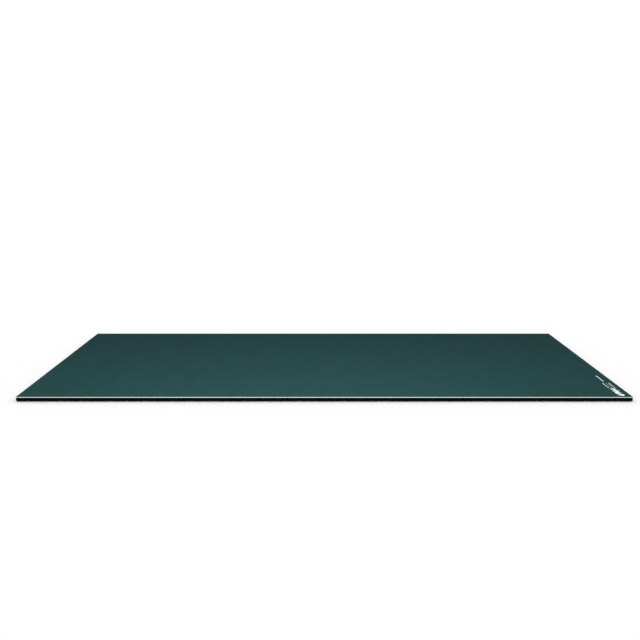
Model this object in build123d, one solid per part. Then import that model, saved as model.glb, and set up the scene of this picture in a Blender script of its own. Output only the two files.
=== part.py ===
from build123d import *
import math
import os

# Folding card table top: two padded boards joined at mid-length by three butt hinges on the
# underside. The top folds underside to underside and lies flat on rubber feet.
# Millimetres. X runs along the length, Y from front to back, Z up from the surface it lies on.
# The origin is the centre of the footprint, level with the bottom of the feet.

# ---- whole top ----
LENGTH = 1800.0
WIDTH = 900.0
SEAM_GAP = 0.3

# ---- layers, from the feet up ----
FOOT_HEIGHT = 4.2
BACKING_THICK = 0.6
BOARD_THICK = 7.7
FOAM_THICK = 2.4
CLOTH_THICK = 0.6
BAND_THICK = 1.0
BAND_LIP = 1.8

# ---- butt hinges ----
HINGE_PLACES = {"front": -330.0, "middle": 0.0, "rear": 330.0}
HINGE_LENGTH = 60.0
KNUCKLES = 5
KNUCKLE_GAP = 0.3
BARREL_R = 2.0
PIN_R = 0.9
PIN_BORE_R = 0.95
PIN_HEAD_R = 1.4
PIN_HEAD_LONG = 0.5
LEAF_THICK = 1.2
LEAF_REACH = 24.0
LEAF_CORNER_R = 3.0
LEAF_SETBACK = 2.4
LEAF_SCREW_X = 14.0
LEAF_SCREW_STEP = 22.0

# ---- countersunk hinge screws ----
SCREW_R = 1.45
SCREW_HEAD_R = 2.6
SCREW_LONG = 7.4
SCREW_POINT = 1.0
HOLE_CLEAR = 0.03
RECESS_WIDE = 0.5
RECESS_DEEP = 0.6

# ---- flat hooks that lock the top open ----
HOOK_PLACES = {"front": -180.0, "rear": 180.0}
HOOK_PIVOT_X = -20.0
HOOK_STUD_X = 34.0
HOOK_WIDE = 14.0
HOOK_THICK = 1.5
HOOK_NOSE = 7.5
HOOK_GAP = 0.3
HOOK_BORE_R = 2.05
PIVOT_R = 2.0
STUD_R = 1.5
SHOULDER_HEAD_R = 3.6
SHOULDER_HEAD_THICK = 0.9
SHOULDER_THREAD_LONG = 6.2

# ---- rubber feet ----
FOOT_R = 10.0
FOOT_EASE = 0.6
FOOT_COLUMNS = (120.0, 490.0, 860.0)
FOOT_ROWS = {"left": (-400.0, 0.0, 400.0), "right": (-365.0, 35.0, 365.0)}

# ---- printed corner mark ----
PRINT_THICK = 0.1
PRINT_X = 871.5
PRINT_FRONT_Y = -430.0
PIP_SIZE = 21.0
PIP_STEP = 20.8
RULE_WIDE = 2.0
RULE_LONG = 58.0
RULE_SPREAD = 9.4
RULE_START_Y = -356.0
DOT_SIZE = 5.0
DOT_COUNT = 4
BAR_START_Y = -281.0
BAR_LONG = 72.0
BAR_WIDE = 2.8

# ---- levels and edges worked out from the sizes above ----
BACKING_Z = FOOT_HEIGHT
BOARD_Z = BACKING_Z + BACKING_THICK
FOAM_Z = BOARD_Z + BOARD_THICK
CLOTH_Z = FOAM_Z + FOAM_THICK
TOP_Z = CLOTH_Z + CLOTH_THICK
HALF_LENGTH = LENGTH / 2
HALF_WIDTH = WIDTH / 2
LIP_Z = BACKING_Z - BAND_LIP
SEAM_X = SEAM_GAP / 2
AXIS_Z = FOOT_HEIGHT - BARREL_R
LEAF_Z = FOOT_HEIGHT - LEAF_THICK
HOOK_TOP_Z = FOOT_HEIGHT - HOOK_GAP
HOOK_Z = HOOK_TOP_Z - HOOK_THICK
SHOULDER_HEAD_TOP_Z = HOOK_Z - HOOK_GAP
SIDES = {"left": -1, "right": 1}


def block(x0, x1, y0, y1, z0, z1):
    """A box between two corners."""
    size = (x1 - x0, y1 - y0, z1 - z0)
    return Pos((x0 + x1) / 2, (y0 + y1) / 2, (z0 + z1) / 2) * Box(*size)


def post(x, y, z0, z1, radius):
    """An upright cylinder from z0 to z1."""
    return Pos(x, y, (z0 + z1) / 2) * Cylinder(radius, z1 - z0)


def tapered_post(x, y, z0, z1, low_radius, high_radius):
    """An upright cone from z0 to z1."""
    return Pos(x, y, (z0 + z1) / 2) * Cone(low_radius, high_radius, z1 - z0)


def across(side, near, far):
    """The low and high X of a stretch that lies near..far from the seam on one side."""
    return sorted((SIDES[side] * near, SIDES[side] * far))


def layer(side, inset, z0, z1):
    """One half's flat layer, set in from all four edges of the half."""
    x0, x1 = across(side, SEAM_X + inset, HALF_LENGTH - inset)
    return block(x0, x1, inset - HALF_WIDTH, HALF_WIDTH - inset, z0, z1)


# ---- where the fasteners go ----


def hinge_screw_places(side):
    """The X, Y of every hinge screw on one half."""
    x = SIDES[side] * LEAF_SCREW_X
    steps = (-LEAF_SCREW_STEP, 0.0, LEAF_SCREW_STEP)
    return [(x, y + step) for y in HINGE_PLACES.values() for step in steps]


def shoulder_screw_places(side):
    """The X, Y of the hook pivots on the left half, or the hook studs on the right half."""
    x = HOOK_PIVOT_X if side == "left" else HOOK_STUD_X
    return [(x, y) for y in HOOK_PLACES.values()]


def pilot_holes(side):
    """The holes that the screws and studs of one half go into."""
    screws = hinge_screw_places(side) + shoulder_screw_places(side)
    deep = LEAF_Z + SCREW_LONG
    return [post(x, y, 0.0, deep, SCREW_R + HOLE_CLEAR) for x, y in screws]


# ---- the padded halves ----


def backing_sheet(side):
    return layer(side, BAND_THICK, BACKING_Z, BOARD_Z) - pilot_holes(side)


def core_board(side):
    return layer(side, BAND_THICK, BOARD_Z, FOAM_Z) - pilot_holes(side)


def edge_band(side):
    """Four strips round the board. The three outer ones drop below it as a lip that hides the
    hardware, and the seam strip's lower edge is chamfered for the hinge barrels."""
    x0, x1 = across(side, SEAM_X, HALF_LENGTH)
    seam0, seam1 = across(side, SEAM_X, SEAM_X + BAND_THICK)
    end0, end1 = across(side, HALF_LENGTH - BAND_THICK, HALF_LENGTH)
    inner = HALF_WIDTH - BAND_THICK
    front = block(x0, x1, -HALF_WIDTH, -inner, LIP_Z, FOAM_Z)
    rear = block(x0, x1, inner, HALF_WIDTH, LIP_Z, FOAM_Z)
    end = block(end0, end1, -inner, inner, LIP_Z, FOAM_Z)
    near = SIDES[side] * SEAM_X
    far = SIDES[side] * (SEAM_X + BAND_THICK)
    corner = [(near, 0, BACKING_Z), (far, 0, BACKING_Z), (near, 0, BACKING_Z + BAND_THICK)]
    wedge = extrude(make_face(Polyline(*corner, close=True)), HALF_WIDTH, both=True)
    seam = block(seam0, seam1, -inner, inner, BACKING_Z, FOAM_Z) - wedge
    return Compound(children=[seam, end, front, rear])


def feet(side):
    """Nine stick-on rubber feet. The two halves' rows are staggered so that they pass folded."""
    pads = []
    for column in FOOT_COLUMNS:
        for row in FOOT_ROWS[side]:
            pad = Pos(0, 0, FOOT_HEIGHT / 2) * Cylinder(FOOT_R, FOOT_HEIGHT)
            pad = fillet(pad.edges().sort_by(Axis.Z)[0], FOOT_EASE)
            pads.append(Pos(SIDES[side] * column, row, 0) * pad)
    return Compound(children=pads)


# ---- hinges ----


def knuckle_span(index):
    """The low and high Y of one knuckle, from the hinge's middle."""
    long = (HINGE_LENGTH - KNUCKLE_GAP * (KNUCKLES - 1)) / KNUCKLES
    low = index * (long + KNUCKLE_GAP) - HINGE_LENGTH / 2
    return low, low + long


def rod_along_y(y0, y1, radius):
    """A cylinder on the hinge axis from y0 to y1."""
    return Pos(0, (y0 + y1) / 2, AXIS_Z) * Rot(90, 0, 0) * Cylinder(radius, y1 - y0)


def hinge_leaf(side, place):
    """A leaf plate with its knuckles, bored for the pin and countersunk for three screws."""
    half = HINGE_LENGTH / 2
    x0, x1 = across(side, LEAF_SETBACK, LEAF_REACH)
    plate = block(x0, x1, -half, half, LEAF_Z, FOOT_HEIGHT)
    outer = plate.edges().filter_by(Axis.Z).sort_by(Axis.X)
    outer = outer[:2] if side == "left" else outer[2:]
    leaf = fillet(outer, LEAF_CORNER_R)
    first = 0 if side == "left" else 1
    web0, web1 = across(side, 0.0, LEAF_SETBACK)
    for index in range(first, KNUCKLES, 2):
        low, high = knuckle_span(index)
        leaf += block(web0, web1, low, high, LEAF_Z, FOOT_HEIGHT)
        leaf += rod_along_y(low, high, BARREL_R)
    leaf -= rod_along_y(-half, half, PIN_BORE_R)
    for step in (-LEAF_SCREW_STEP, 0.0, LEAF_SCREW_STEP):
        leaf -= screw_body(SIDES[side] * LEAF_SCREW_X, step, HOLE_CLEAR)
    return Pos(0, place, 0) * leaf


def hinge_pin(place):
    """The pin, with a low button head at each end of the barrel."""
    half = HINGE_LENGTH / 2
    pin = rod_along_y(-half, half, PIN_R)
    pin += rod_along_y(half, half + PIN_HEAD_LONG, PIN_HEAD_R)
    pin += rod_along_y(-half - PIN_HEAD_LONG, -half, PIN_HEAD_R)
    return Pos(0, place, 0) * pin


# ---- screws ----


def screw_body(x, y, clear=0.0):
    """A countersunk screw, or with clear above 0 the hole that it sits in."""
    head_deep = SCREW_HEAD_R - SCREW_R
    neck_z = LEAF_Z + head_deep
    point_z = LEAF_Z + SCREW_LONG
    body = tapered_post(x, y, LEAF_Z, neck_z, SCREW_HEAD_R + clear, SCREW_R + clear)
    body += post(x, y, neck_z, point_z - SCREW_POINT, SCREW_R + clear)
    body += tapered_post(x, y, point_z - SCREW_POINT, point_z, SCREW_R + clear, SCREW_R / 2)
    return body


def cross_recess(x, y, z, reach):
    """The cross-shaped recess in a screw head whose face is at z."""
    half = RECESS_WIDE / 2
    long_x = block(x - reach, x + reach, y - half, y + half, z, z + RECESS_DEEP)
    long_y = block(x - half, x + half, y - reach, y + reach, z, z + RECESS_DEEP)
    return long_x + long_y


def hinge_screws(side):
    reach = SCREW_HEAD_R / 2
    places = hinge_screw_places(side)
    return Compound(children=[screw_body(x, y) - cross_recess(x, y, LEAF_Z, reach) for x, y in places])


def shoulder_screw(x, y, shoulder_radius):
    """A flat-headed screw with a plain shoulder between its head and the board."""
    head_z = SHOULDER_HEAD_TOP_Z - SHOULDER_HEAD_THICK
    screw = post(x, y, head_z, SHOULDER_HEAD_TOP_Z, SHOULDER_HEAD_R)
    screw = chamfer(screw.edges().sort_by(Axis.Z)[0], SHOULDER_HEAD_THICK / 3)
    screw += post(x, y, SHOULDER_HEAD_TOP_Z, FOOT_HEIGHT, shoulder_radius)
    screw += post(x, y, FOOT_HEIGHT, FOOT_HEIGHT + SHOULDER_THREAD_LONG, SCREW_R)
    return screw - cross_recess(x, y, head_z, SHOULDER_HEAD_R / 2)


# ---- hooks ----


def hook(place):
    """A flat bar at rest along Y. It turns about its pivot until its side slot takes the stud."""
    outward = 1 if place > 0 else -1
    reach = HOOK_STUD_X - HOOK_PIVOT_X
    half = HOOK_WIDE / 2
    bar = block(0, reach, -half, half, HOOK_Z, HOOK_TOP_Z)
    bar += post(0, 0, HOOK_Z, HOOK_TOP_Z, half)
    bar += post(reach, 0, HOOK_Z, HOOK_TOP_Z, HOOK_NOSE)
    bar -= post(0, 0, 0, FOOT_HEIGHT, HOOK_BORE_R)
    slot_r = STUD_R + HOOK_GAP
    ring = post(0, 0, 0, FOOT_HEIGHT, reach + slot_r) - post(0, 0, 0, FOOT_HEIGHT, reach - slot_r)
    opening = block(0, reach + HOOK_WIDE, -HOOK_WIDE, 0, 0, FOOT_HEIGHT)
    bar -= ring & opening
    bar -= post(reach, 0, 0, FOOT_HEIGHT, slot_r)
    if outward < 0:
        bar = mirror(bar, Plane.XZ)
    return Pos(HOOK_PIVOT_X, place, 0) * Rot(0, 0, 90 * outward) * bar


# ---- printed corner mark ----


def diamond_pip(size):
    half = size / 2
    points = [(0, half), (0.78 * half, 0), (0, -half), (-0.78 * half, 0)]
    return make_face(Polyline(*points, close=True))


def heart_pip(size):
    """Two lobes over a point, with the point towards -Y."""
    lobe = size / 4
    lobe_y = size / 5
    reach = lobe_y + size / 2
    drop = lobe / reach
    side_x = lobe + lobe * math.sqrt(1 - drop * drop)
    side_y = lobe_y - lobe * drop
    body = make_face(Polyline((-side_x, side_y), (0, -size / 2), (side_x, side_y), (0, lobe_y), close=True))
    lobes = Pos(-lobe, lobe_y) * Circle(lobe) + Pos(lobe, lobe_y) * Circle(lobe)
    return body + lobes


def stem(size):
    """The flared stalk under a spade or a club."""
    points = [(-0.22 * size, -size / 2), (0.22 * size, -size / 2), (0, 0)]
    return make_face(Polyline(*points, close=True))


def spade_pip(size):
    return Rot(0, 0, 180) * heart_pip(0.9 * size) + stem(size)


def club_pip(size):
    leaf_r = 0.23 * size
    leaves = Pos(0, 0.25 * size) * Circle(leaf_r)
    leaves += Pos(-0.25 * size, -0.08 * size) * Circle(leaf_r)
    leaves += Pos(0.25 * size, -0.08 * size) * Circle(leaf_r)
    return leaves + Circle(0.14 * size) + stem(size)


def corner_print():
    """Four suit pips in a row, two rules with dots between them, and a bar, along the right
    edge. They are upright for someone who stands at the right end."""
    shapes = []
    for index, pip in enumerate((spade_pip, heart_pip, club_pip, diamond_pip)):
        place = Pos(PRINT_X, PRINT_FRONT_Y + index * PIP_STEP)
        shapes.append(place * Rot(0, 0, 90) * pip(PIP_SIZE))
    rule_middle = RULE_START_Y + RULE_LONG / 2
    for across_x in (-RULE_SPREAD, RULE_SPREAD):
        shapes.append(Pos(PRINT_X + across_x, rule_middle) * Rectangle(RULE_WIDE, RULE_LONG))
    dot_step = RULE_LONG / DOT_COUNT
    for index in range(DOT_COUNT):
        dot_y = RULE_START_Y + (index + 0.5) * dot_step
        shapes.append(Pos(PRINT_X, dot_y) * diamond_pip(DOT_SIZE))
    bar_middle = BAR_START_Y + BAR_LONG / 2
    shapes.append(Pos(PRINT_X, bar_middle) * Rectangle(BAR_WIDE, BAR_LONG))
    solids = [Pos(0, 0, TOP_Z) * extrude(shape, PRINT_THICK) for shape in shapes]
    return Compound(children=solids)


def model():
    """Every node's name and solid."""
    nodes = {}
    for side in SIDES:
        nodes[f"{side}_core_board"] = core_board(side)
        nodes[f"{side}_edge_band"] = edge_band(side)
        nodes[f"{side}_backing_sheet"] = backing_sheet(side)
        nodes[f"{side}_foam_underlay"] = layer(side, 0.0, FOAM_Z, CLOTH_Z)
        nodes[f"{side}_playing_cloth"] = layer(side, 0.0, CLOTH_Z, TOP_Z)
        nodes[f"{side}_feet"] = feet(side)
        nodes[f"{side}_hinge_screws"] = hinge_screws(side)
    for name, place in HINGE_PLACES.items():
        nodes[f"{name}_hinge_left_leaf"] = hinge_leaf("left", place)
        nodes[f"{name}_hinge_right_leaf"] = hinge_leaf("right", place)
        nodes[f"{name}_hinge_pin"] = hinge_pin(place)
    for name, place in HOOK_PLACES.items():
        nodes[f"{name}_hook"] = hook(place)
        nodes[f"{name}_hook_pivot_screw"] = shoulder_screw(HOOK_PIVOT_X, place, PIVOT_R)
        nodes[f"{name}_hook_stud"] = shoulder_screw(HOOK_STUD_X, place, STUD_R)
    nodes["corner_print"] = corner_print()
    return nodes


os.makedirs("parts", exist_ok=True)
for node, solid in model().items():
    export_step(solid, f"parts/{node}.step")
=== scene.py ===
import bpy
from math import radians
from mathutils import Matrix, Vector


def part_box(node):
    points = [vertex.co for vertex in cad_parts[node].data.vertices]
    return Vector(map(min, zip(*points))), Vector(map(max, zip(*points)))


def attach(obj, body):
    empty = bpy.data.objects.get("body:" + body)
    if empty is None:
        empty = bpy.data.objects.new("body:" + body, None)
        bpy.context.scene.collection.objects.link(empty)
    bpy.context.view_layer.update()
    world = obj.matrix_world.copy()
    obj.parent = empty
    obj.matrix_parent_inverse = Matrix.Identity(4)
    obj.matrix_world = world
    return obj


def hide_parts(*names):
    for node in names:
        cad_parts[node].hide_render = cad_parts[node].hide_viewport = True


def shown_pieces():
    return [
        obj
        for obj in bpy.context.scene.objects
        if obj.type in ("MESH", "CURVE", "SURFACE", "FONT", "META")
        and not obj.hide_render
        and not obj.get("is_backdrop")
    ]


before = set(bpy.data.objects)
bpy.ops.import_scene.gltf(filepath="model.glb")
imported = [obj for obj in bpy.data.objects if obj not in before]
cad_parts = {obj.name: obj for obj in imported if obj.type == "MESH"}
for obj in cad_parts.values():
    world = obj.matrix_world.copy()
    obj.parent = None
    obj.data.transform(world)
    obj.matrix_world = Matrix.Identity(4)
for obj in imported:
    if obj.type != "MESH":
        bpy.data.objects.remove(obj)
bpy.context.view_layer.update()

mm = 0.001
nearly = 1e-6  # m, how near a plane a point counts as on it
halfNames = ("left", "right")
hingeNames = ("front", "middle", "rear")
hookNames = ("front", "rear")


def deselectAll():
    if bpy.context.object and bpy.context.object.mode != "OBJECT":
        bpy.ops.object.mode_set(mode="OBJECT")
    bpy.ops.object.select_all(action="DESELECT")


def pick(obj):
    deselectAll()
    obj.select_set(True)
    bpy.context.view_layer.objects.active = obj


def selectFaces(obj, test):
    # leaves edit mode open with the faces chosen whose centre and normal pass the test
    bpy.ops.object.mode_set(mode="EDIT")
    bpy.ops.mesh.select_mode(type="FACE")
    bpy.ops.mesh.select_all(action="DESELECT")
    bpy.ops.object.mode_set(mode="OBJECT")
    for face in obj.data.polygons:
        face.select = test(face.center, face.normal)
    bpy.ops.object.mode_set(mode="EDIT")


def facesUp(centre, normal):
    return normal.z > 0.9


def facesDown(centre, normal):
    return normal.z < -0.9


def selectEdges(obj, test):
    # leaves edit mode open with the edges chosen whose two ends pass the test
    bpy.ops.object.mode_set(mode="EDIT")
    bpy.ops.mesh.select_mode(type="EDGE")
    bpy.ops.mesh.select_all(action="DESELECT")
    bpy.ops.object.mode_set(mode="OBJECT")
    verts = obj.data.vertices
    for edge in obj.data.edges:
        edge.select = test(verts[edge.vertices[0]].co, verts[edge.vertices[1]].co)
    bpy.ops.object.mode_set(mode="EDIT")


def settle(obj, smoothAngle=35):
    # puts the place and size into the mesh, so the object sits at the origin
    pick(obj)
    bpy.ops.object.transform_apply(location=True, rotation=True, scale=True)
    bpy.ops.object.shade_smooth_by_angle(angle=radians(smoothAngle))
    return obj


def boxBetween(name, low, high):
    # a cube primitive that fills the space between two corners
    deselectAll()
    middle = [(a + b) / 2 for a, b in zip(low, high)]
    bpy.ops.mesh.primitive_cube_add(size=1, location=middle)
    obj = bpy.context.object
    obj.name = name
    obj.scale = [b - a for a, b in zip(low, high)]
    pick(obj)
    bpy.ops.object.transform_apply(location=True, rotation=True, scale=True)
    return obj


def joinAll(name, objs):
    deselectAll()
    for obj in objs:
        obj.select_set(True)
    bpy.context.view_layer.objects.active = objs[0]
    bpy.ops.object.join()
    objs[0].name = name
    return objs[0]


def applyModifier(obj, kind, **settings):
    pick(obj)
    modifier = obj.modifiers.new(kind.title(), kind)
    for key, value in settings.items():
        setattr(modifier, key, value)
    bpy.ops.object.modifier_apply(modifier=modifier.name)


def setMaterial(obj, material):
    obj.data.materials.clear()
    obj.data.materials.append(material)


def linearColour(hexColour):
    # an sRGB hex colour as linear red, green, blue, alpha
    parts = [int(hexColour[i:i + 2], 16) / 255 for i in (1, 3, 5)]
    return [c / 12.92 if c <= 0.04045 else ((c + 0.055) / 1.055) ** 2.4 for c in parts] + [1.0]


def addNode(tree, kind, settings=None, inputs=None):
    # adds one node: settings are its properties, inputs are values or (node, output) links
    node = tree.nodes.new(kind)
    for key, value in (settings or {}).items():
        setattr(node, key, value)
    for key, value in (inputs or {}).items():
        if isinstance(value, tuple) and hasattr(value[0], "outputs"):
            tree.links.new(value[0].outputs[value[1]], node.inputs[key])
        else:
            node.inputs[key].default_value = value
    return node


def newMaterial(name):
    material = bpy.data.materials.new(name)
    material.use_nodes = True
    material.node_tree.nodes.clear()
    return material, material.node_tree


def finishMaterial(material, tree, shader):
    addNode(tree, "ShaderNodeOutputMaterial", inputs={"Surface": (shader, 0)})
    return material


def ramp(tree, source, stops):
    # a colour ramp with its stops as (place, sRGB hex)
    node = addNode(tree, "ShaderNodeValToRGB", inputs={"Fac": source})
    elements = node.color_ramp.elements
    while len(elements) < len(stops):
        elements.new(0.5)
    for element, (place, hexColour) in zip(elements, stops):
        element.position = place
        element.color = linearColour(hexColour)
    return node


clothFinish = {
    "dark": "#152b2b",
    "light": "#172e2e",
    "threadPitch": 1.2,  # the real thread is 0.35 mm, drawn coarser so that the weave shows close up
    "napSize": 45,  # mm, the soft patches where the nap lies differently
    "weaveShadeAndHighlight": (0.93, 1.06),  # painted shade between two threads and a painted highlight on top of one
    "roughness": 0.78,
    "specular": 0.003,  # hardly any, so that the face stays dark when it is seen from low down
    "fuzzSize": 0.9,  # mm
    "weaveHeight": 0.05,  # mm
}


def makeSpeedCloth():
    # polyester speed cloth, close woven and calendered: an even matt face with a faint cross weave
    material, tree = newMaterial("speedClothTealGreen")
    coords = addNode(tree, "ShaderNodeTexCoord")
    place = (coords, "Object")
    nap = addNode(tree, "ShaderNodeTexNoise", {"noise_dimensions": "3D"}, {
        "Vector": place, "Scale": 1 / (clothFinish["napSize"] * mm), "Detail": 5.0, "Roughness": 0.55})
    colour = ramp(tree, (nap, "Fac"), [(0.3, clothFinish["dark"]), (0.7, clothFinish["light"])])
    waves = []
    for direction in ("X", "Y"):
        # a wave repeats every 0.314 / scale, so scale comes from the thread pitch
        waves.append(addNode(
            tree, "ShaderNodeTexWave", {"wave_type": "BANDS", "bands_direction": direction},
            {"Vector": place, "Scale": 0.314 / (clothFinish["threadPitch"] * mm), "Distortion": 0.4,
             "Detail": 1.0}))
    weave = addNode(tree, "ShaderNodeMath", {"operation": "MULTIPLY"}, {
        0: (waves[0], "Fac"), 1: (waves[1], "Fac")})
    # the weave darkens the colour between threads as painted shade and lightens it on top of them as a
    # painted highlight
    shade = addNode(tree, "ShaderNodeMapRange", {}, {
        "Value": (weave, 0), "To Min": clothFinish["weaveShadeAndHighlight"][0], "To Max": clothFinish["weaveShadeAndHighlight"][1]})
    threadShadedColour = addNode(tree, "ShaderNodeVectorMath", {"operation": "SCALE"}, {
        0: (colour, "Color"), "Scale": (shade, "Result")})
    fuzz = addNode(tree, "ShaderNodeTexNoise", {}, {
        "Vector": place, "Scale": 1 / (clothFinish["fuzzSize"] * mm), "Detail": 2.0})
    heights = addNode(tree, "ShaderNodeMath", {"operation": "ADD"}, {0: (weave, 0), 1: (fuzz, "Fac")})
    bump = addNode(tree, "ShaderNodeBump", {}, {
        "Height": (heights, 0), "Strength": 0.35, "Distance": clothFinish["weaveHeight"] * mm})
    shader = addNode(tree, "ShaderNodeBsdfPrincipled", {}, {
        "Base Color": (threadShadedColour, 0), "Roughness": clothFinish["roughness"],
        "Specular IOR Level": clothFinish["specular"], "Normal": (bump, "Normal")})
    return finishMaterial(material, tree, shader)


foamFinish = {"dark": "#aab6b8", "light": "#c3cfd2", "cellSize": 0.8, "roughness": 0.9}


def makeFoam():
    # closed-cell polyethylene foam, die cut: a pale grey edge with tiny open cells, painted darker in their
    # hollows as shade
    material, tree = newMaterial("closedCellFoamPaleGrey")
    coords = addNode(tree, "ShaderNodeTexCoord")
    cells = addNode(tree, "ShaderNodeTexVoronoi", {"feature": "F1"}, {
        "Vector": (coords, "Object"), "Scale": 1 / (foamFinish["cellSize"] * mm)})
    # the dark colour goes in the cell hollows as painted shade, the light one on the cell rims
    colour = ramp(tree, (cells, "Distance"), [(0.1, foamFinish["dark"]), (0.7, foamFinish["light"])])
    bump = addNode(tree, "ShaderNodeBump", {}, {
        "Height": (cells, "Distance"), "Strength": 0.5, "Distance": 0.1 * mm})
    shader = addNode(tree, "ShaderNodeBsdfPrincipled", {}, {
        "Base Color": (colour, "Color"), "Roughness": foamFinish["roughness"], "Specular IOR Level": 0.1,
        "Normal": (bump, "Normal")})
    return finishMaterial(material, tree, shader)


bandFinish = {
    "colour": "#040404",
    "scuffed": "#0c0c0c",
    "scuffSize": 30,  # mm
    "grain": 0.9,  # mm
    "roughness": 0.55,
    "specular": 0.015,  # hardly any, so that the edge stays black
}


def makeAbsBand():
    # extruded black ABS edge band, fine matt grain, a little greyed where it has been handled
    material, tree = newMaterial("absEdgeBandBlack")
    coords = addNode(tree, "ShaderNodeTexCoord")
    place = (coords, "Object")
    scuffs = addNode(tree, "ShaderNodeTexNoise", {}, {
        "Vector": place, "Scale": 1 / (bandFinish["scuffSize"] * mm), "Detail": 8.0})
    colour = ramp(tree, (scuffs, "Fac"), [(0.45, bandFinish["colour"]), (0.85, bandFinish["scuffed"])])
    grain = addNode(tree, "ShaderNodeTexNoise", {}, {
        "Vector": place, "Scale": 1 / (bandFinish["grain"] * mm), "Detail": 3.0})
    rough = addNode(tree, "ShaderNodeMapRange", {}, {
        "Value": (scuffs, "Fac"), "To Min": bandFinish["roughness"], "To Max": bandFinish["roughness"] + 0.2})
    bump = addNode(tree, "ShaderNodeBump", {}, {
        "Height": (grain, "Fac"), "Strength": 0.3, "Distance": 0.05 * mm})
    shader = addNode(tree, "ShaderNodeBsdfPrincipled", {}, {
        "Base Color": (colour, "Color"), "Roughness": (rough, "Result"),
        "Specular IOR Level": bandFinish["specular"], "Normal": (bump, "Normal")})
    return finishMaterial(material, tree, shader)


backingFinish = {"dark": "#161718", "light": "#222425", "cloud": 120, "pebble": 1.6, "roughness": 0.5}  # mm


def makeBacking():
    # resin-faced balancing paper pressed on the board: near black with a fine pebble
    material, tree = newMaterial("resinBackingPaperBlack")
    coords = addNode(tree, "ShaderNodeTexCoord")
    place = (coords, "Object")
    pebble = addNode(tree, "ShaderNodeTexVoronoi", {"feature": "SMOOTH_F1"}, {
        "Vector": place, "Scale": 1 / (backingFinish["pebble"] * mm)})
    cloudy = addNode(tree, "ShaderNodeTexNoise", {}, {
        "Vector": place, "Scale": 1 / (backingFinish["cloud"] * mm), "Detail": 6.0})
    colour = ramp(tree, (cloudy, "Fac"), [(0.3, backingFinish["dark"]), (0.75, backingFinish["light"])])
    bump = addNode(tree, "ShaderNodeBump", {}, {
        "Height": (pebble, "Distance"), "Strength": 0.4, "Distance": 0.08 * mm})
    shader = addNode(tree, "ShaderNodeBsdfPrincipled", {}, {
        "Base Color": (colour, "Color"), "Roughness": backingFinish["roughness"], "Specular IOR Level": 0.35,
        "Normal": (bump, "Normal")})
    return finishMaterial(material, tree, shader)


boardFinish = {"dark": "#7d6142", "light": "#a58560", "fibre": 1.5}  # mm


def makeFibreboard():
    # medium-density fibreboard, sanded: warm brown with short random fibres
    material, tree = newMaterial("fibreboardRaw")
    coords = addNode(tree, "ShaderNodeTexCoord")
    fibres = addNode(tree, "ShaderNodeTexNoise", {}, {
        "Vector": (coords, "Object"), "Scale": 1 / (boardFinish["fibre"] * mm), "Detail": 6.0,
        "Distortion": 1.5})
    colour = ramp(tree, (fibres, "Fac"), [(0.35, boardFinish["dark"]), (0.65, boardFinish["light"])])
    bump = addNode(tree, "ShaderNodeBump", {}, {
        "Height": (fibres, "Fac"), "Strength": 0.3, "Distance": 0.1 * mm})
    shader = addNode(tree, "ShaderNodeBsdfPrincipled", {}, {
        "Base Color": (colour, "Color"), "Roughness": 0.85, "Specular IOR Level": 0.2,
        "Normal": (bump, "Normal")})
    return finishMaterial(material, tree, shader)


rubberFinish = {"dark": "#1a1a1a", "dusty": "#2c2c2b", "bloom": 6, "grain": 0.4, "roughness": 0.7}  # mm


def makeRubber():
    # moulded rubber, matt black with a grey dusty bloom in patches
    material, tree = newMaterial("mouldedRubberBlack")
    coords = addNode(tree, "ShaderNodeTexCoord")
    place = (coords, "Object")
    bloom = addNode(tree, "ShaderNodeTexNoise", {}, {
        "Vector": place, "Scale": 1 / (rubberFinish["bloom"] * mm), "Detail": 6.0})
    colour = ramp(tree, (bloom, "Fac"), [(0.4, rubberFinish["dark"]), (0.75, rubberFinish["dusty"])])
    grain = addNode(tree, "ShaderNodeTexNoise", {}, {
        "Vector": place, "Scale": 1 / (rubberFinish["grain"] * mm), "Detail": 2.0})
    bump = addNode(tree, "ShaderNodeBump", {}, {
        "Height": (grain, "Fac"), "Strength": 0.3, "Distance": 0.05 * mm})
    shader = addNode(tree, "ShaderNodeBsdfPrincipled", {}, {
        "Base Color": (colour, "Color"), "Roughness": rubberFinish["roughness"], "Specular IOR Level": 0.3,
        "Normal": (bump, "Normal")})
    return finishMaterial(material, tree, shader)


steelFinish = {
    "spangle": 8,  # mm
    "rollLine": 0.5,  # mm across
    "lineStretch": 0.06,  # scales the pattern along the rolling, so that the lines run long
}


def makeZincSteel(name, dark, light, brushAxis, roughness):
    # zinc-plated steel: bright grey with a slight warm and cool spangle and fine rolling lines
    material, tree = newMaterial(name)
    coords = addNode(tree, "ShaderNodeTexCoord")
    spangle = addNode(tree, "ShaderNodeTexNoise", {}, {
        "Vector": (coords, "Object"), "Scale": 1 / (steelFinish["spangle"] * mm), "Detail": 4.0})
    colour = ramp(tree, (spangle, "Fac"), [(0.35, dark), (0.65, light)])
    stretch = [1.0, 1.0, 1.0]
    stretch["XYZ".index(brushAxis)] = steelFinish["lineStretch"]
    turned = addNode(tree, "ShaderNodeMapping", {}, {"Vector": (coords, "Object"), "Scale": stretch})
    lines = addNode(tree, "ShaderNodeTexNoise", {}, {
        "Vector": (turned, "Vector"), "Scale": 1 / (steelFinish["rollLine"] * mm), "Detail": 3.0})
    rough = addNode(tree, "ShaderNodeMapRange", {}, {
        "Value": (lines, "Fac"), "To Min": roughness - 0.06, "To Max": roughness + 0.12})
    bump = addNode(tree, "ShaderNodeBump", {}, {
        "Height": (lines, "Fac"), "Strength": 0.25, "Distance": 0.02 * mm})
    shader = addNode(tree, "ShaderNodeBsdfPrincipled", {}, {
        "Base Color": (colour, "Color"), "Metallic": 1.0, "Roughness": (rough, "Result"),
        "Normal": (bump, "Normal")})
    return finishMaterial(material, tree, shader)


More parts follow.
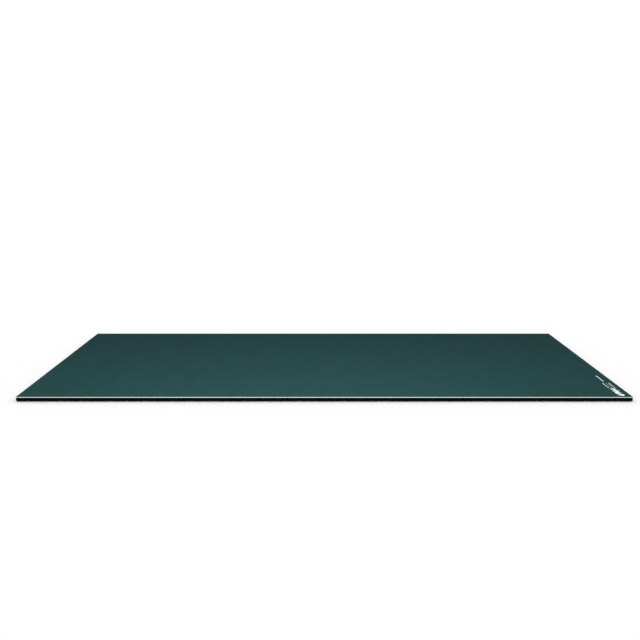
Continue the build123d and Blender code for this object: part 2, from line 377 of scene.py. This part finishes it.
printFinish = {
    "bright": "#b0b5b3",
    "worn": "#969c9a",
    "wearSize": 5,  # mm
    "thread": 1.2,  # mm, as coarse as the weave is drawn
    "threadShadeAndHighlight": (0.8, 1.03),  # painted shade between two threads and a painted highlight on top of one
    "roughness": 0.45,
}


def makePrint():
    # white heat-transfer film pressed into the cloth: the weave still shows through it
    material, tree = newMaterial("whiteTransferPrint")
    coords = addNode(tree, "ShaderNodeTexCoord")
    place = (coords, "Object")
    wear = addNode(tree, "ShaderNodeTexNoise", {}, {
        "Vector": place, "Scale": 1 / (printFinish["wearSize"] * mm), "Detail": 6.0})
    colour = ramp(tree, (wear, "Fac"), [(0.3, printFinish["worn"]), (0.5, printFinish["bright"])])
    threads = addNode(tree, "ShaderNodeTexNoise", {}, {
        "Vector": place, "Scale": 1 / (printFinish["thread"] * mm), "Detail": 2.0})
    # the print is darker between threads as painted shade and lighter on top of them as a painted highlight
    shade = addNode(tree, "ShaderNodeMapRange", {}, {
        "Value": (threads, "Fac"), "From Min": 0.35, "From Max": 0.6,
        "To Min": printFinish["threadShadeAndHighlight"][0], "To Max": printFinish["threadShadeAndHighlight"][1]})
    threadShadedColour = addNode(tree, "ShaderNodeVectorMath", {"operation": "SCALE"}, {
        0: (colour, "Color"), "Scale": (shade, "Result")})
    bump = addNode(tree, "ShaderNodeBump", {}, {
        "Height": (threads, "Fac"), "Strength": 0.3, "Distance": 0.05 * mm})
    shader = addNode(tree, "ShaderNodeBsdfPrincipled", {}, {
        "Base Color": (threadShadedColour, 0), "Roughness": printFinish["roughness"], "Specular IOR Level": 0.1,
        "Normal": (bump, "Normal")})
    return finishMaterial(material, tree, shader)


speedCloth = makeSpeedCloth()
foam = makeFoam()
absBand = makeAbsBand()
backing = makeBacking()
fibreboard = makeFibreboard()
rubber = makeRubber()
zincHinge = makeZincSteel("zincPlatedHingeSteel", "#a9a89f", "#c3c4c0", "Y", 0.34)
zincHook = makeZincSteel("zincPlatedHookSteel", "#a6a9a8", "#c6c9c9", "Y", 0.3)
zincScrew = makeZincSteel("zincPlatedScrewSteel", "#b0aa94", "#c8c3ad", "X", 0.28)
drawnPin = makeZincSteel("drawnPinSteel", "#9a9b9b", "#b4b5b5", "Y", 0.25)
whitePrint = makePrint()
print("materials made")


clothPiece = {
    "cuts": 58,  # across each half, so a cell is about 15 mm
    "seamEase": 0.10,  # mm that the soft cut edge spreads into the seam gap
    "rimWide": 3.0,  # mm of the cloth that dips at the rim
    "rimDip": 0.18,  # mm
    "unevenness": 0.04,  # mm
    "roundOver": 0.22,  # mm
}


def makeCloth(side):
    low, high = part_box(side + "_playing_cloth")
    ease = clothPiece["seamEase"] * mm
    xLow = low[0] - (ease if side == "right" else 0)
    xHigh = high[0] + (ease if side == "left" else 0)
    rim = clothPiece["rimWide"] * mm
    cloth = boxBetween(side + "_speed_cloth", (xLow, low[1], low[2]), (xHigh, high[1], high[2]))
    selectFaces(cloth, facesUp)
    bpy.ops.mesh.inset(thickness=rim)
    bpy.ops.mesh.subdivide(number_cuts=clothPiece["cuts"])
    bpy.ops.transform.vertex_random(
        offset=clothPiece["unevenness"] * mm, uniform=0, normal=1, seed=5 if side == "left" else 9)
    bpy.ops.object.mode_set(mode="OBJECT")
    onRim = lambda p: p.z > low[2] + nearly and (
        p.x < xLow + nearly or p.x > xHigh - nearly or p.y < low[1] + nearly or p.y > high[1] - nearly)
    selectEdges(cloth, lambda a, b: onRim(a) and onRim(b))
    bpy.ops.transform.translate(value=(0, 0, -clothPiece["rimDip"] * mm))
    bpy.ops.mesh.bevel(offset=clothPiece["roundOver"] * mm, segments=2, affect="EDGES")
    bpy.ops.object.mode_set(mode="OBJECT")
    return settle(cloth, 60)


foamPiece = {"seamEase": 0.05, "rimWide": 3.0, "dip": 0.18, "round": 0.35}  # mm


def makeFoamPad(side):
    low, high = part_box(side + "_foam_underlay")
    ease = foamPiece["seamEase"] * mm
    xLow = low[0] - (ease if side == "right" else 0)
    xHigh = high[0] + (ease if side == "left" else 0)
    dip = foamPiece["dip"] * mm
    rim = foamPiece["rimWide"] * mm
    pad = boxBetween(side + "_foam_pad", (xLow, low[1], low[2]), (xHigh, high[1], high[2]))
    selectFaces(pad, facesUp)
    bpy.ops.mesh.inset(thickness=rim)
    bpy.ops.object.mode_set(mode="OBJECT")
    top = high[2]
    outside = lambda p: (
        p.x < xLow + nearly or p.x > xHigh - nearly or p.y < low[1] + nearly or p.y > high[1] - nearly)
    selectEdges(pad, lambda a, b: all(p.z > top - nearly and outside(p) for p in (a, b)))
    bpy.ops.transform.translate(value=(0, 0, -dip))
    bpy.ops.object.mode_set(mode="OBJECT")
    selectEdges(pad, lambda a, b: outside(a) and outside(b))
    bpy.ops.mesh.bevel(offset=foamPiece["round"] * mm, segments=3, affect="EDGES")
    bpy.ops.object.mode_set(mode="OBJECT")
    return settle(pad, 60)


for side in halfNames:
    body = side + "_half"
    cloth = makeCloth(side)
    setMaterial(cloth, speedCloth)
    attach(cloth, body)
    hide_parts(side + "_playing_cloth")
    pad = makeFoamPad(side)
    setMaterial(pad, foam)
    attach(pad, body)
    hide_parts(side + "_foam_underlay")
print("cloth and foam made")


bandPiece = {"thick": 1.0, "round": 0.3, "seamChamfer": 0.98}  # mm


def makeBand(side):
    low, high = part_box(side + "_edge_band")
    thick = bandPiece["thick"] * mm
    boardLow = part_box(side + "_backing_sheet")[0][2]  # the seam strip ends here, the others drop below it
    yIn = high[1] - thick
    seamX = high[0] if side == "left" else low[0]
    seamIn = seamX - thick if side == "left" else seamX + thick
    endX = low[0] if side == "left" else high[0]
    endIn = endX + thick if side == "left" else endX - thick
    spans = {
        "front": (low[0], high[0], low[1], -yIn),
        "rear": (low[0], high[0], yIn, high[1]),
        "seam": (min(seamX, seamIn), max(seamX, seamIn), -yIn, yIn),
        "end": (min(endX, endIn), max(endX, endIn), -yIn, yIn),
    }
    strips = []
    for name, (x0, x1, y0, y1) in spans.items():
        bottom = boardLow if name == "seam" else low[2]
        strip = boxBetween(side + "_band_" + name, (x0, y0, bottom), (x1, y1, high[2]))
        if name == "seam":
            lowSeamEdge = lambda p: abs(p.x - seamX) < nearly and p.z < boardLow + nearly
            selectEdges(strip, lambda a, b: lowSeamEdge(a) and lowSeamEdge(b))
            bpy.ops.mesh.bevel(offset=bandPiece["seamChamfer"] * mm, segments=1, affect="EDGES")
            bpy.ops.object.mode_set(mode="OBJECT")
        applyModifier(strip, "BEVEL", width=bandPiece["round"] * mm, segments=2,
                      limit_method="ANGLE", angle_limit=radians(40))
        bpy.ops.object.mode_set(mode="EDIT")
        bpy.ops.mesh.select_all(action="SELECT")
        bpy.ops.mesh.remove_doubles(threshold=2 * nearly)
        bpy.ops.mesh.dissolve_degenerate(threshold=2 * nearly)
        bpy.ops.object.mode_set(mode="OBJECT")
        strips.append(strip)
    return settle(joinAll(side + "_edge_band_strips", strips))


for side in halfNames:
    band = makeBand(side)
    setMaterial(band, absBand)
    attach(band, side + "_half")
    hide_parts(side + "_edge_band")
print("edge bands made")


footPiece = {
    "radius": 10.0, "draft": 0.5, "round": 0.6,  # mm
    "ringIn": 3.4, "recess": 0.5, "discIn": 1.2, "sides": 40,
    "columns": (120, 490, 860),
    "rows": {"left": (-400, 0, 400), "right": (-365, 35, 365)},
}


def makeFoot():
    # one foot at the origin, standing on z = 0, wider at the top where it is stuck on
    deselectAll()
    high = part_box("left_feet")[1][2]
    bpy.ops.mesh.primitive_cone_add(
        vertices=footPiece["sides"], radius1=(footPiece["radius"] - footPiece["draft"]) * mm,
        radius2=footPiece["radius"] * mm, depth=high, location=(0, 0, high / 2))
    foot = bpy.context.object
    bpy.ops.object.transform_apply(location=True, rotation=True, scale=True)
    selectFaces(foot, facesDown)
    bpy.ops.mesh.inset(thickness=footPiece["ringIn"] * mm)
    bpy.ops.mesh.extrude_region_move(TRANSFORM_OT_translate={"value": (0, 0, footPiece["recess"] * mm)})
    bpy.ops.mesh.inset(thickness=footPiece["discIn"] * mm)
    bpy.ops.object.mode_set(mode="OBJECT")
    rimR = (footPiece["radius"] - footPiece["draft"]) * mm
    onRim = lambda p: p.z < nearly and p.to_2d().length > rimR - nearly
    selectEdges(foot, lambda a, b: onRim(a) and onRim(b))
    bpy.ops.mesh.bevel(offset=footPiece["round"] * mm, segments=3, affect="EDGES")
    bpy.ops.object.mode_set(mode="OBJECT")
    return settle(foot)


firstFoot = makeFoot()
for side in halfNames:
    sign = -1 if side == "left" else 1
    feet = []
    for column in footPiece["columns"]:
        for row in footPiece["rows"][side]:
            foot = firstFoot.copy()
            foot.data = firstFoot.data.copy()
            bpy.context.collection.objects.link(foot)
            foot.location = (sign * column * mm, row * mm, 0)
            feet.append(foot)
    joined = settle(joinAll(side + "_rubber_feet", feet))
    setMaterial(joined, rubber)
    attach(joined, side + "_half")
    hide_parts(side + "_feet")
bpy.data.objects.remove(firstFoot)
print("feet made")


finishes = {}
for side in halfNames:
    finishes[side + "_core_board"] = fibreboard
    finishes[side + "_backing_sheet"] = backing
    finishes[side + "_hinge_screws"] = zincScrew
for place in hingeNames:
    finishes[place + "_hinge_left_leaf"] = zincHinge
    finishes[place + "_hinge_right_leaf"] = zincHinge
    finishes[place + "_hinge_pin"] = drawnPin
for place in hookNames:
    finishes[place + "_hook"] = zincHook
    finishes[place + "_hook_pivot_screw"] = zincScrew
    finishes[place + "_hook_stud"] = zincScrew
finishes["corner_print"] = whitePrint
for node, material in finishes.items():
    setMaterial(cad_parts[node], material)
print("materials set on", len(finishes), "parts")


studio = {
    "floorSize": 60,  # m
    "floorColour": "#e7e7e7",
    "domeStrength": 1.25,
    "keyPower": 52,  # W
    "keySize": (1.33, 0.3),  # m
    "keyPlace": (-0.05, -0.73, 1.35),
    "keyTilt": -11.5,  # degrees, towards the front
    "underStrength": 3.0,
    "underAngle": 25,  # degrees
    "cameraPlace": (-0.0127, -2.7616, 0.6882),
    "cameraPitch": 79.11,  # degrees from straight down
    "lens": 46.24,  # mm
}


def makeFloor():
    deselectAll()
    # it is clear from below, so the underside and the folded half show in views from there
    bpy.ops.mesh.primitive_plane_add(size=studio["floorSize"], location=(0, 0, 0))
    floor = bpy.context.object
    floor.name = "floor"
    material, tree = newMaterial("matteWhiteFloor")
    paint = addNode(tree, "ShaderNodeBsdfDiffuse", {}, {"Color": linearColour(studio["floorColour"])})
    clear = addNode(tree, "ShaderNodeBsdfTransparent")
    face = addNode(tree, "ShaderNodeNewGeometry")
    shader = addNode(tree, "ShaderNodeMixShader", {}, {
        "Fac": (face, "Backfacing"), 1: (paint, 0), 2: (clear, 0)})
    setMaterial(floor, finishMaterial(material, tree, shader))
    floor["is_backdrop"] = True


def makeWorld():
    world = bpy.data.worlds.new("softDome")
    bpy.context.scene.world = world
    world.use_nodes = True
    background = world.node_tree.nodes["Background"]
    background.inputs["Color"].default_value = (1, 1, 1, 1)
    background.inputs["Strength"].default_value = studio["domeStrength"]


def makeLamps():
    # a soft box over the front edge that lights the object and leaves the floor even
    data = bpy.data.lights.new("softBox", "AREA")
    data.shape = "RECTANGLE"
    data.size, data.size_y = studio["keySize"]
    data.energy = studio["keyPower"]
    key = bpy.data.objects.new("softBox", data)
    bpy.context.collection.objects.link(key)
    key.location = studio["keyPlace"]
    key.rotation_euler = (radians(studio["keyTilt"]), 0, 0)
    lit = bpy.data.collections.new("litPieces")
    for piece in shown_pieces():
        lit.objects.link(piece)
    key.light_linking.receiver_collection = lit
    # a soft lamp from straight below for the underside, which the floor doesn't stop
    data = bpy.data.lights.new("underLamp", "SUN")
    data.energy = studio["underStrength"]
    data.angle = radians(studio["underAngle"])
    under = bpy.data.objects.new("underLamp", data)
    bpy.context.collection.objects.link(under)
    under.rotation_euler = (radians(180), 0, 0)
    under.light_linking.receiver_collection = lit
    under.light_linking.blocker_collection = lit


def makeCamera():
    data = bpy.data.cameras.new("camera")
    data.lens = studio["lens"]
    data.sensor_width = 36
    camera = bpy.data.objects.new("camera", data)
    bpy.context.collection.objects.link(camera)
    camera.location = studio["cameraPlace"]
    camera.rotation_euler = (radians(studio["cameraPitch"]), 0, 0)
    bpy.context.scene.camera = camera


makeFloor()
makeWorld()
makeLamps()
makeCamera()
bpy.context.scene.view_settings.view_transform = "Standard"
print("studio made")
